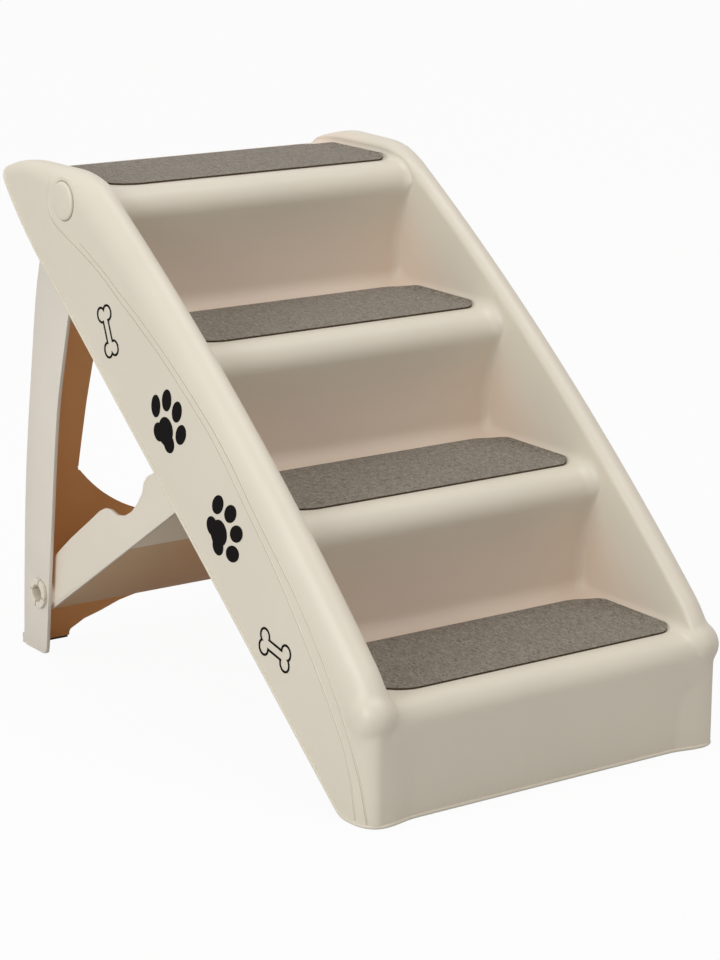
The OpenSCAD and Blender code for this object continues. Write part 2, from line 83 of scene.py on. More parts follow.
# Line of the steps, from the foot of the front panel to the rear edge
foot_y, foot_z = PANEL_FOOT[0] - NOSE_Y, PANEL_FOOT[1] - NOSE_Z
nose_panel_a = math.degrees(math.atan2(foot_z, foot_y)) + 360
nose_panel_a -= math.degrees(math.acos(NOSE_R / math.hypot(foot_y, foot_z)))
riser_dy = RISER_SETBACK + RISER_R
riser_dz = math.sqrt((NOSE_R + RISER_R) ** 2 - riser_dy ** 2)
riser_a = math.degrees(math.atan2(riser_dz, riser_dy))
nose_start = arc_points(NOSE_Y, NOSE_Z, NOSE_R, nose_panel_a, nose_panel_a, 0)[0]
step_line = straight_points(PANEL_FOOT, nose_start, 18)
step_line += arc_points(NOSE_Y, NOSE_Z, NOSE_R, nose_panel_a, 90, 14)[1:]
for i in range(1, 4):
    riser_y = NOSE_Y - RISER_SETBACK + i * TREAD_RUN
    tread_z = NOSE_Z + NOSE_R + (i - 1) * TREAD_RISE
    nose_y, nose_z = NOSE_Y + i * TREAD_RUN, NOSE_Z + i * TREAD_RISE
    corner = (riser_y - TREAD_CORNER_R, tread_z + TREAD_CORNER_R)
    riser_c = (riser_y - RISER_R, nose_z - riser_dz)
    corner_end = arc_points(*riser_c, RISER_R, 0, 0, 0)[0]
    step_line += straight_points(step_line[-1], (corner[0], tread_z), 28)[1:]
    step_line += arc_points(*corner, TREAD_CORNER_R, -90, 0, 7)[1:]
    if corner_end[1] > corner[1]:
        step_line += straight_points((riser_y, corner[1]), corner_end, 4)[1:]
        first_a = 0
    else:
        first_a = math.degrees(math.asin((corner[1] - riser_c[1]) / RISER_R))
    step_line += arc_points(*riser_c, RISER_R, first_a, riser_a, 14)[1:]
    step_line += arc_points(nose_y, nose_z, NOSE_R, 180 + riser_a, 90, 12)[1:]
tread_end = (REAR_FOLD_Y, step_line[-1][1])
step_line += straight_points(step_line[-1], tread_end, 34)[1:]
fold_start = len(step_line) - 1
step_line += arc_points(tread_end[0], tread_end[1] - REAR_FOLD_R, REAR_FOLD_R, 90, 0, 5)[1:]
step_line += straight_points(step_line[-1], SKIRT_END, 2)[1:]
step_line = np.array(step_line)

# Ridge of a rail: column, front arc, long back, crest and tail
front_c, crest_c, tail_c = np.array([-227.4, 79.0]), np.array([193.69, 391.0]), np.array([249.99, 335.0])
back_c = np.array([1607.1, -1779.4])
back_a1 = math.degrees(math.atan2(*(front_c - back_c)[::-1]))
back_a2 = math.degrees(math.atan2(*(crest_c - back_c)[::-1]))
back_r = (np.linalg.norm(front_c - back_c) + COLUMN_R + np.linalg.norm(crest_c - back_c) + CREST_R) / 2
tail_a = math.degrees(math.acos((REAR_Y - tail_c[0]) / TAIL_R))
ridge = straight_points((COLUMN_Y, 1.0), (COLUMN_Y, front_c[1]), 40)
ridge += arc_points(*front_c, COLUMN_R, 180, back_a1, 60)[1:]
ridge += arc_points(*back_c, back_r, back_a1, back_a2, 160)[1:]
ridge += arc_points(*crest_c, CREST_R, back_a2, 90, 50)[1:]
ridge += arc_points(*tail_c, TAIL_R, 90, tail_a, 40)
ridge = np.array(ridge)

# Lower edge of a side: floor, straight underside and the bend up to the tail
under_n, bend_s = 166.83, 431.5
foot_back = (-268.0, 1.0)
bend = (bend_s * SLOPE_ALONG[0] - under_n * SLOPE_ALONG[1],
        bend_s * SLOPE_ALONG[1] + under_n * SLOPE_ALONG[0])
under_c = (bend[0] - UNDER_R * SLOPE_ALONG[1], bend[1] + UNDER_R * SLOPE_ALONG[0])
under_end = math.degrees(math.acos((REAR_Y - under_c[0]) / UNDER_R))
lower = straight_points((COLUMN_Y, 1.0), foot_back, 20) + straight_points(foot_back, bend, 120)[1:]
lower += arc_points(*under_c, UNDER_R, math.degrees(SLOPE) - 90, -under_end, 40)[1:]
lower += straight_points(lower[-1], ridge[-1], 4)[1:]
lower = np.array(lower)


def at_distance_along(points, s):
    key = along(points)
    return np.stack([np.interp(s, key, points[:, 0]), np.interp(s, key, points[:, 1])], 1)


def depth_under_ridge(yz):
    """Shortest distance from each (Y, Z) place to the ridge line."""
    start, run = ridge[:-1], np.diff(ridge, axis=0)
    depth = np.empty(len(yz))
    for k in range(0, len(yz), 2000):
        gap = yz[k:k + 2000, None, :] - start[None]
        t = np.clip((gap * run).sum(2) / np.maximum((run ** 2).sum(1), 1e-9), 0, 1)
        depth[k:k + 2000] = np.linalg.norm(gap - t[..., None] * run, axis=2).min(1)
    return depth


def rail_round(yz):
    """Width and depth of the rail's rounding: less at the column, much less at the tail."""
    column = part_way(yz[:, 1], 120.0, 80.0) * (yz[:, 0] < -200)
    tail = part_way(yz[:, 0], 150.0, 260.0)
    return (ROUND_W - COLUMN_LESS * column - TAIL_LESS_W * tail,
            ROUND_D - COLUMN_LESS * column - TAIL_LESS_D * tail)


def rail_half_width(yz):
    """Half width of the skin at a (Y, Z) place, rounded off towards the ridge."""
    wide, deep = rail_round(yz)
    q = np.clip(1 - depth_under_ridge(yz) / deep, 0, 1)
    x = RAIL_OUT - wide + wide * np.sqrt(1 - q ** 2)
    to_pivot = np.hypot(yz[:, 0] - PIVOT_Y, yz[:, 1] - PIVOT_Z)
    return x + (RAIL_OUT - x) * ease(part_way(to_pivot, PAD_R, PAD_R - 3.5))


s_step = along(step_line)
s_step[fold_start:] = np.linspace(s_step[fold_start], s_step.max(), len(s_step) - fold_start)
s_ridge = s_step - 4.31 * part_way(s_step, -158.0, -234.0)
s_ridge[fold_start:] = np.linspace(s_ridge[fold_start], along(ridge)[-1], len(s_step) - fold_start)
ridge_at = at_distance_along(ridge, s_ridge)
lower_at = at_distance_along(lower, s_ridge)
COLS_FLAT, COLS_FILLET, COLS_WALL, COLS_EDGE, COLS_ROUND, COLS_SIDE = 6, 7, 5, 7, 11, 20
COLUMN_SOFTNESS = 0.72
rows = []
for k, (s, r, u) in enumerate(zip(step_line, ridge_at, lower_at)):
    h = np.linalg.norm(r - s)
    front = part_way(s[1], 100.0, 80.0) if s[0] < -280 else 0.0
    lean = part_way(s[1], 28.0, 68.0)
    wall_x = RAIL_IN + front * (COLUMN_LEAN * lean ** LEAN_POWER - COLUMN_WIDER)
    ridge_x = RAIL_OUT - float(rail_round(np.array([r]))[0][0])
    fill_x, fill_d = min(RAIL_FILLET, max(0.55 * h, 6.0 + 3.0 * front)), min(RAIL_FILLET, 0.5 * h)
    edge_x, edge_d = max(ridge_x - 2.0 - wall_x, 1.0), min(9.0, 0.42 * h)
    row = [(x, h) for x in np.linspace(0, wall_x - fill_x, COLS_FLAT + 1)]
    for a in np.radians(np.linspace(0, 90, COLS_FILLET + 1))[1:]:
        row.append((wall_x - fill_x + fill_x * math.sin(a), h - fill_d * (1 - math.cos(a))))
    row += [(wall_x, d) for d in np.linspace(h - fill_d, edge_d, COLS_WALL + 1)[1:]]
    for a in np.radians(np.linspace(0, 90, COLS_EDGE + 1))[1:]:
        row.append((wall_x + edge_x * (1 - math.cos(a)), edge_d * (1 - math.sin(a))))
    ramp_cols = COLS_FILLET + COLS_WALL + COLS_EDGE
    for j, x in enumerate(np.linspace(wall_x - fill_x - 3.0, wall_x + edge_x, ramp_cols + 1)[1:], start=1):
        t = j / ramp_cols
        old_x, old_d = row[COLS_FLAT + j]
        soft_d = h * (1 - ease(t))
        row[COLS_FLAT + j] = (old_x + COLUMN_SOFTNESS * front * (x - old_x),
                              old_d + COLUMN_SOFTNESS * front * (soft_d - old_d))
    row.append((ridge_x, 0.0))
    swell = part_way(s[1], 56.0, 70.0) * part_way(s[1], 104.0, 92.0) * (s[0] < -280)
    inner = []
    for x, d in row:
        keep = 1 - swell * ease(part_way(x, wall_x - 34.0, wall_x - 8.0))
        inner.append((x, *(r + (s - r) * (d * keep / max(h, 1e-6)))))
    length = np.linalg.norm(u - r)
    turn = min(TURN_LENGTH, 0.55 * length)
    steps_out = [turn * (1 - math.cos(a)) for a in np.radians(np.linspace(0, 90, COLS_ROUND + 1))[1:]]
    steps_out += list(np.linspace(turn, length, COLS_SIDE + 1)[1:])
    outer = [(None, *(r + (u - r) * (d / max(length, 1e-6)))) for d in steps_out]
    rows.append(inner + outer)
cols = len(rows[0])
grid = np.array([[(np.nan if p[0] is None else p[0], p[1], p[2]) for p in row] for row in rows])
flat = grid.reshape(-1, 3)
on_skin = np.isnan(flat[:, 0])
flat[on_skin, 0] = rail_half_width(flat[on_skin, 1:])

# Ball that ends the first nose on each column, and the smaller swelling beside the top nose:
# the centre, the radius and half height, and where across the skin each starts and is full
NOSE_BALL = ((179.3, -289.0, 95.0), 21.5, 19.8, 156.0, 162.0)
TOP_SWELLING = ((172.0, 165.0, 463.0), 21.0, 14.0, 160.0, 168.0)
for centre, radius, half_h, start_x, full_x in (NOSE_BALL, TOP_SWELLING):
    v = flat - np.array(centre)
    reach = np.sqrt((v[:, 0] / radius) ** 2 + (v[:, 1] / radius) ** 2 + (v[:, 2] / half_h) ** 2)
    weight = ease(part_way(flat[:, 0], start_x, full_x)) * ((reach < 1) & (reach > 0.05))
    pushed = v / np.maximum(reach, 0.05)[:, None] + centre
    flat += weight[:, None] * (pushed - flat)
    flat[:, 0] = np.minimum(flat[:, 0], RAIL_OUT + BALL_OUT)

# The ball, the column and the nose run softly into each other
sheet = flat.reshape(len(rows), cols, 3)
for _ in range(5):
    mid = sheet[1:-1, 1:-1]
    around = (sheet[:-2, 1:-1] + sheet[2:, 1:-1] + sheet[1:-1, :-2] + sheet[1:-1, 2:]) / 4
    soft_zone = (part_way(mid[..., 1], -255, -267) * part_way(mid[..., 0], 146, 158)
                 * part_way(mid[..., 2], 22, 52) * part_way(mid[..., 2], 135, 120))
    mid += 0.5 * soft_zone[..., None] * (around - mid)
flat = sheet.reshape(-1, 3)

bpy.ops.object.select_all(action="DESELECT")
bpy.ops.mesh.primitive_grid_add(x_subdivisions=cols - 1, y_subdivisions=len(rows) - 1, size=1)
shell = bpy.context.object
shell.name = "stair_shell_skin"
shell.data.vertices.foreach_set("co", (flat * MM).ravel().astype(np.float32))
shell.data.update()


def modify(obj, kind, **settings):
    """Adds a modifier with these settings to a piece and applies it."""
    bpy.ops.object.select_all(action="DESELECT")
    obj.select_set(True)
    bpy.context.view_layer.objects.active = obj
    m = obj.modifiers.new(kind.lower(), kind)
    for key, value in settings.items():
        setattr(m, key, value)
    bpy.ops.object.modifier_apply(modifier=m.name)
    return obj


def edit(obj):
    """Goes into edit mode on a piece, with all of it selected."""
    bpy.ops.object.select_all(action="DESELECT")
    obj.select_set(True)
    bpy.context.view_layer.objects.active = obj
    bpy.ops.object.mode_set(mode="EDIT")
    bpy.ops.mesh.select_all(action="SELECT")


def tidy_normals(obj):
    edit(obj)
    bpy.ops.mesh.remove_doubles(threshold=0.00002)
    bpy.ops.mesh.dissolve_degenerate(threshold=0.00001)
    bpy.ops.mesh.normals_make_consistent(inside=False)
    bpy.ops.object.mode_set(mode="OBJECT")


modify(shell, "MIRROR", use_axis=(True, False, False), use_mirror_merge=True, merge_threshold=0.0001)
tidy_normals(shell)
top_face = max(shell.data.polygons, key=lambda f: abs(f.normal.z) * f.area)
if top_face.normal.z < 0:
    edit(shell)
    bpy.ops.mesh.flip_normals()
    bpy.ops.object.mode_set(mode="OBJECT")
modify(shell, "SOLIDIFY", thickness=WALL * MM, offset=-1.0, use_quality_normals=True)

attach(shell, "shell")
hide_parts("stair_shell")


def join_into(obj, parts):
    bpy.ops.object.select_all(action="DESELECT")
    for part in parts:
        part.select_set(True)
    obj.select_set(True)
    bpy.context.view_layer.objects.active = obj
    bpy.ops.object.join()
    return obj


def make_group(name, inputs, outputs):
    """An empty shader node group with these named sockets."""
    group = bpy.data.node_groups.new(name, "ShaderNodeTree")
    for label, kind, value in inputs:
        socket = group.interface.new_socket(label, in_out="INPUT", socket_type=kind)
        if value is not None:
            socket.default_value = value
    for label, kind in outputs:
        group.interface.new_socket(label, in_out="OUTPUT", socket_type=kind)
    return group, group.nodes.new("NodeGroupInput"), group.nodes.new("NodeGroupOutput")


def link(tree, a, b):
    tree.links.new(a, b)


def add_node(tree, kind, operation=None, first=None, second=None, **values):
    """A shader node with its operation and values; an underscore in a value's name is a space."""
    node = tree.nodes.new("ShaderNode" + kind)
    if operation:
        node.operation = operation
    for place, value in enumerate((first, second)):
        if value is not None:
            node.inputs[place].default_value = value
    for label, value in values.items():
        node.inputs[label.replace("_", " ")].default_value = value
    return node


# Fine sparkle of the mould and a very slight cloudiness, shared by all cream plastic
plastic_group, gin, gout = make_group(
    "moulded_skin",
    [("Colour", "NodeSocketColor", (0.7, 0.62, 0.5, 1)), ("Cloud", "NodeSocketFloat", 0.05),
     ("Roughness", "NodeSocketFloat", 0.4), ("Grain", "NodeSocketFloat", 0.06)],
    [("Colour", "NodeSocketColor"), ("Roughness", "NodeSocketFloat"), ("Normal", "NodeSocketVector")])
coords = add_node(plastic_group, "TexCoord")
clouds = add_node(plastic_group, "TexNoise", Scale=9.0, Detail=3.0)
grain = add_node(plastic_group, "TexNoise", Scale=900.0, Detail=2.0)
hue = add_node(plastic_group, "HueSaturation")
spread = add_node(plastic_group, "MapRange", From_Min=0.3, From_Max=0.7)
low = add_node(plastic_group, "Math", "SUBTRACT", first=1.0)
high = add_node(plastic_group, "Math", "ADD", first=1.0)
rough = add_node(plastic_group, "Math", "MULTIPLY_ADD", second=0.10)
bump = add_node(plastic_group, "Bump", Distance=0.0003)
for source in (clouds, grain):
    link(plastic_group, coords.outputs["Object"], source.inputs["Vector"])
link(plastic_group, gin.outputs["Cloud"], low.inputs[1])
link(plastic_group, gin.outputs["Cloud"], high.inputs[1])
link(plastic_group, clouds.outputs["Fac"], spread.inputs["Value"])
link(plastic_group, low.outputs[0], spread.inputs["To Min"])
link(plastic_group, high.outputs[0], spread.inputs["To Max"])
link(plastic_group, spread.outputs[0], hue.inputs["Value"])
link(plastic_group, gin.outputs["Colour"], hue.inputs["Color"])
link(plastic_group, grain.outputs["Fac"], rough.inputs[0])
link(plastic_group, gin.outputs["Roughness"], rough.inputs[2])
link(plastic_group, grain.outputs["Fac"], bump.inputs["Height"])
link(plastic_group, gin.outputs["Grain"], bump.inputs["Strength"])
link(plastic_group, hue.outputs[0], gout.inputs["Colour"])
link(plastic_group, rough.outputs[0], gout.inputs["Roughness"])
link(plastic_group, bump.outputs[0], gout.inputs["Normal"])


def srgb(r, g, b):
    lin = [c / 255 / 12.92 if c / 255 <= 0.04045 else ((c / 255 + 0.055) / 1.055) ** 2.4 for c in (r, g, b)]
    return (*lin, 1.0)


def plastic(name, colour, roughness=0.36, cloud=0.02, grain=0.10):
    m = bpy.data.materials.new(name)
    m.use_nodes = True
    tree = m.node_tree
    shader = tree.nodes["Principled BSDF"]
    skin = add_node(tree, "Group")
    skin.node_tree = plastic_group
    skin.inputs["Colour"].default_value = colour
    skin.inputs["Cloud"].default_value = cloud
    skin.inputs["Roughness"].default_value = roughness
    skin.inputs["Grain"].default_value = grain
    link(tree, skin.outputs["Colour"], shader.inputs["Base Color"])
    link(tree, skin.outputs["Roughness"], shader.inputs["Roughness"])
    link(tree, skin.outputs["Normal"], shader.inputs["Normal"])
    return m


def finish_with(obj, material):
    obj.data.materials.clear()
    obj.data.materials.append(material)


shell_plastic = plastic("cream_plastic", srgb(225, 218, 203))


def ramp(tree, value, start, end, smooth=False):
    """A mask that is 0 where the value is start and 1 where it is end."""
    node = add_node(tree, "MapRange", From_Min=start, From_Max=end)
    if smooth:
        node.interpolation_type = "SMOOTHSTEP"
    link(tree, value, node.inputs["Value"])
    return node.outputs[0]


def times(tree, a, b):
    node = add_node(tree, "Math", "MULTIPLY")
    link(tree, a, node.inputs[0])
    link(tree, b, node.inputs[1])
    return node.outputs[0]


def lay_over(tree, under, mask, over):
    """One colour over another where the mask is 1; each is a fixed colour or comes from a node."""
    node = tree.nodes.new("ShaderNodeMix")
    node.data_type = "RGBA"
    for label, colour in (("A", under), ("B", over)):
        if isinstance(colour, tuple):
            node.inputs[label].default_value = colour
        else:
            link(tree, colour, node.inputs[label])
    link(tree, mask, node.inputs["Factor"])
    return node.outputs["Result"]


def object_place(tree):
    """A piece's own coordinates: the node itself, X, Y and Z, and the distance from the middle."""
    coords = add_node(tree, "TexCoord")
    split = add_node(tree, "SeparateXYZ")
    across = add_node(tree, "Math", "ABSOLUTE")
    link(tree, coords.outputs["Object"], split.inputs[0])
    link(tree, split.outputs["X"], across.inputs[0])
    return coords, split.outputs, across.outputs[0]


# Painted shade: between the rails the plastic is painted a little warmer, most of all deep in the corners
# of the steps, for the warm shade there
tree = shell_plastic.node_tree
base = tree.nodes["Principled BSDF"].inputs["Base Color"]
coords, axes, across = object_place(tree)
depth = add_node(tree, "VectorMath", "DOT_PRODUCT", second=(0, -math.sin(SLOPE), math.cos(SLOPE)))
link(tree, coords.outputs["Object"], depth.inputs[0])
between = ramp(tree, across, 178 * MM, 168 * MM)
behind_nose = ramp(tree, axes["Y"], -288 * MM, -270 * MM)
corner_shade = ramp(tree, depth.outputs["Value"], 268 * MM, 205 * MM, smooth=True)
mask = times(tree, times(tree, between, behind_nose), corner_shade)
link(tree, lay_over(tree, base.links[0].from_socket, mask, srgb(232, 216, 200)), base)


def bar_along(points, radius, name, closed=False, sides=1):
    """A round bar through these points, in millimetres, as a mesh."""
    data = bpy.data.curves.new(name, "CURVE")
    data.dimensions = "3D"
    data.bevel_depth = radius * MM
    data.bevel_resolution = sides
    data.use_fill_caps = not closed
    spline = data.splines.new("POLY")
    spline.points.add(len(points) - 1)
    spline.use_cyclic_u = closed
    for point, (x, y, z) in zip(spline.points, points):
        point.co = (x * MM, y * MM, z * MM, 1)
    bar = bpy.data.objects.new(name, data)
    bpy.context.collection.objects.link(bar)
    bpy.ops.object.select_all(action="DESELECT")
    bar.select_set(True)
    bpy.context.view_layer.objects.active = bar
    bpy.ops.object.convert(target="MESH")
    return bpy.context.object


def even_steps(points, step, smooth=0):
    """The same line with points at even steps, and rounded this many times."""
    points = np.array(points, float)
    run = np.concatenate([[0], np.cumsum(np.linalg.norm(np.diff(points, axis=0), axis=1))])
    t = np.linspace(0, run[-1], max(int(run[-1] / step), 4))
    line = np.stack([np.interp(t, run, points[:, k]) for k in range(points.shape[1])], 1)
    for _ in range(smooth):
        line[1:-1] = 0.25 * line[:-2] + 0.5 * line[1:-1] + 0.25 * line[2:]
    return line


# Two raised hairlines that the mould leaves on each side, with a painted shadow line beside each: a thin
# bead of darker plastic
HAIRLINE_R, SHADOW_R, HAIRLINE_SHIFT, SHADOW_BESIDE, STEP = 0.75, 0.5, -2.5, 1.0, 3
hairlines = [
    [(216, 487), (221, 467), (220, 452), (215, 443), (205, 437), (185, 430), (125, 407), (64, 375),
     (19, 350), (-19, 325), (-63, 295), (-88, 273), (-122, 240), (-158, 206), (-187, 175),
     (-219, 138), (-250, 99), (-271, 68), (-282, 38), (-287, 6)],
    [(161, 428), (118, 410), (56, 379), (11, 353), (-28, 328), (-69, 299), (-98, 275), (-131, 243),
     (-168, 209), (-199, 181), (-233, 143), (-263, 103), (-282, 71), (-293, 42), (-299, 5)],
]
inward = np.array([-SLOPE_ALONG[1], SLOPE_ALONG[0]])
# Painted shadow: the darker plastic of the thin line beside each hairline
painted_shadow_line = plastic("cream_plastic_painted_shadow", srgb(178, 168, 148), roughness=0.6)
strips = []
for line in hairlines:
    for beside, r, material in ((0, HAIRLINE_R, shell_plastic), (SHADOW_BESIDE, SHADOW_R, painted_shadow_line)):
        yz = even_steps(line, STEP, 14)
        fade = part_way(yz[:, 0], 150.0, 90.0) * part_way(yz[:, 1], 10.0, 90.0)
        yz += (HAIRLINE_SHIFT * fade - beside)[:, None] * inward
        x = rail_half_width(yz) - 0.2 * r
        for side in (-1, 1):
            strips.append(bar_along(np.column_stack([side * x, yz]), r, "skin_line"))
            finish_with(strips[-1], material)

# Rolled rim round the whole lower edge: front panel, columns, sides, tails and rear skirt
RIM_R = 1.7
loop = flat.reshape(len(rows), cols, 3)
half_loop = np.concatenate([loop[0, :cols - COLS_SIDE - COLS_ROUND], loop[:, -1], loop[-1, ::-1]])
half_loop[:, 2] = np.maximum(half_loop[:, 2], 2.0)
keep = [0] + [k for k in range(1, len(half_loop)) if np.linalg.norm(half_loop[k] - half_loop[k - 1]) > 0.05]
half_loop = even_steps(half_loop[keep], 4, 3)
other_half = half_loop[::-1] * np.array([-1, 1, 1])
whole_loop = np.concatenate([half_loop[:-1], other_half[:-1]])
strips.append(bar_along(whole_loop, RIM_R, "rim", closed=True, sides=3))

# Inside the rails: the boss round each pivot, the leg's stop, the plate over each front pad,
# and under the second tread the rib that the brace hooks behind
BOSS_X, BOSS_R, BOSS_H = 191.1, 22, 4.6
STOP_SIZE, STOP_CENTRE = (9, 19.5, 17.5), (189, 222.2, 464.1)
PLATE_SIZE, PLATE_CENTRE = (11, 17, 3), (188, -277.6, 3.5)
CATCH_W, CATCH_AHEAD, CATCH_L, CATCH_DROP, CATCH_R = 310, 6.5, 6, 9, TREAD_CORNER_R + 1.5
SOFT_EDGE = 0.6


def lying_cylinder(x, radius, depth, vertices):
    """A round bar along X on the line of the pivots."""
    bpy.ops.mesh.primitive_cylinder_add(
        vertices=vertices, radius=radius * MM, depth=depth * MM, rotation=(0, math.pi / 2, 0),
        location=(x * MM, PIVOT_Y * MM, PIVOT_Z * MM))
    return bpy.context.object


for side in (-1, 1):
    strips.append(lying_cylinder(side * BOSS_X, BOSS_R, BOSS_H, 48))
    for size, (x, y, z) in ((STOP_SIZE, STOP_CENTRE), (PLATE_SIZE, PLATE_CENTRE)):
        bpy.ops.mesh.primitive_cube_add(size=1, location=(side * x * MM, y * MM, z * MM))
        rib = bpy.context.object
        rib.scale = [c * MM for c in size]
        bpy.ops.object.transform_apply(location=True, rotation=True, scale=True)
        strips.append(modify(rib, "BEVEL", width=SOFT_EDGE * MM, segments=2))
corner_y = NOSE_Y - RISER_SETBACK + 2 * TREAD_RUN - TREAD_CORNER_R
corner_z = NOSE_Z + NOSE_R + TREAD_RISE + TREAD_CORNER_R
under_wall = TREAD_CORNER_R + WALL
catch_s = corner_y * SLOPE_ALONG[0] + corner_z * SLOPE_ALONG[1]
catch_n = corner_z * SLOPE_ALONG[0] - corner_y * SLOPE_ALONG[1] - under_wall
bpy.ops.mesh.primitive_cube_add(size=1, location=(0, 0, 0))
catch = bpy.context.object
for v in catch.data.vertices:
    ds = CATCH_AHEAD + CATCH_L * (v.co.y + 0.5)
    dn = -CATCH_DROP if v.co.z < 0 else under_wall - math.sqrt(CATCH_R ** 2 - ds ** 2)
    v.co = (v.co.x * CATCH_W * MM,
            ((catch_s + ds) * SLOPE_ALONG[0] - (catch_n + dn) * SLOPE_ALONG[1]) * MM,
            ((catch_s + ds) * SLOPE_ALONG[1] + (catch_n + dn) * SLOPE_ALONG[0]) * MM)
strips.append(modify(catch, "BEVEL", width=SOFT_EDGE * MM, segments=2))
for part in strips:
    if not part.data.materials:
        finish_with(part, shell_plastic)
    for f in part.data.polygons:
        f.use_smooth = True

# Round seats in the skin for the heads of the pivot pins
SEAT_X, SEAT_R, SEAT_H = 198.2, 19.3, 10
for side in (-1, 1):
    seat = lying_cylinder(side * SEAT_X, SEAT_R, SEAT_H, 96)
    modify(shell, "BOOLEAN", operation="DIFFERENCE", object=seat, solver="EXACT")
    bpy.data.objects.remove(seat)
finish_with(shell, shell_plastic)
join_into(shell, strips)
for f in shell.data.polygons:
    f.use_smooth = True
bpy.ops.object.select_all(action="DESELECT")
shell.select_set(True)
bpy.context.view_layer.objects.active = shell
bpy.ops.object.shade_smooth_by_angle(angle=math.radians(40))

# Tread mats: four rounded mats of mottled needle felt, glued on the treads so
# that paws grip. Their side faces are painted darker as painted shade, their edges are
# slightly rounded, and their ends curl up over the soft corner to the rails.
MAT_LEFT, MAT_RIGHT, MAT_D, MAT_T, MAT_SETBACK = -156.5, 162.0, 122.0, 2.0, 7.4
MAT_EDGE, MAT_CROWN = 0.9, 0.3
MAT_CURL_START, MAT_CURL_R, MAT_CURL_CUTS = 148.0, 30.0, 9
MAT_CORNER_FRONT_LEFT, MAT_CORNER_FRONT_RIGHT, MAT_CORNER_BACK = 34.0, 16.0, 28.0
felt_group, gin, gout = make_group(
    "needle_felt",
    [("Light", "NodeSocketColor", (0.3, 0.28, 0.25, 1)), ("Dark", "NodeSocketColor", (0.1, 0.09, 0.08, 1))],
    [("Colour", "NodeSocketColor"), ("Height", "NodeSocketFloat")])
coords = add_node(felt_group, "TexCoord")
fibres = add_node(felt_group, "TexNoise", Scale=420.0, Detail=6.0, Roughness=0.75, Distortion=1.4)
flecks = add_node(felt_group, "TexVoronoi", Scale=700.0)
flecks.feature = "F1"
stretch = add_node(felt_group, "Mapping", Scale=(1.0, 0.45, 1.0))
contrast = add_node(felt_group, "ValToRGB")
contrast.color_ramp.elements[0].position = 0.36
contrast.color_ramp.elements[1].position = 0.62
mixer = add_node(felt_group, "Mix")
mixer.data_type = "RGBA"
adder = add_node(felt_group, "Math", "MULTIPLY_ADD", second=0.35)
link(felt_group, coords.outputs["Object"], stretch.inputs["Vector"])
link(felt_group, stretch.outputs[0], fibres.inputs["Vector"])
link(felt_group, coords.outputs["Object"], flecks.inputs["Vector"])
link(felt_group, fibres.outputs["Fac"], contrast.inputs["Fac"])
link(felt_group, contrast.outputs["Color"], mixer.inputs["Factor"])
link(felt_group, gin.outputs["Dark"], mixer.inputs["A"])
link(felt_group, gin.outputs["Light"], mixer.inputs["B"])
link(felt_group, flecks.outputs["Distance"], adder.inputs[0])
link(felt_group, fibres.outputs["Fac"], adder.inputs[2])
link(felt_group, mixer.outputs["Result"], gout.inputs["Colour"])
link(felt_group, adder.outputs[0], gout.inputs["Height"])


def felt(name, light, dark, sheen):
    m = bpy.data.materials.new(name)
    m.use_nodes = True
    tree = m.node_tree
    shader = tree.nodes["Principled BSDF"]
    shader.inputs["Roughness"].default_value = 0.95
    shader.inputs["Sheen Weight"].default_value = sheen
    shader.inputs["Specular IOR Level"].default_value = 0.15
    pile = add_node(tree, "Group")
    pile.node_tree = felt_group
    pile.inputs["Light"].default_value = light
    pile.inputs["Dark"].default_value = dark
    relief = add_node(tree, "Bump", Strength=0.55, Distance=0.0008)
    link(tree, pile.outputs["Colour"], shader.inputs["Base Color"])
    link(tree, pile.outputs["Height"], relief.inputs["Height"])
    link(tree, relief.outputs[0], shader.inputs["Normal"])
    return m


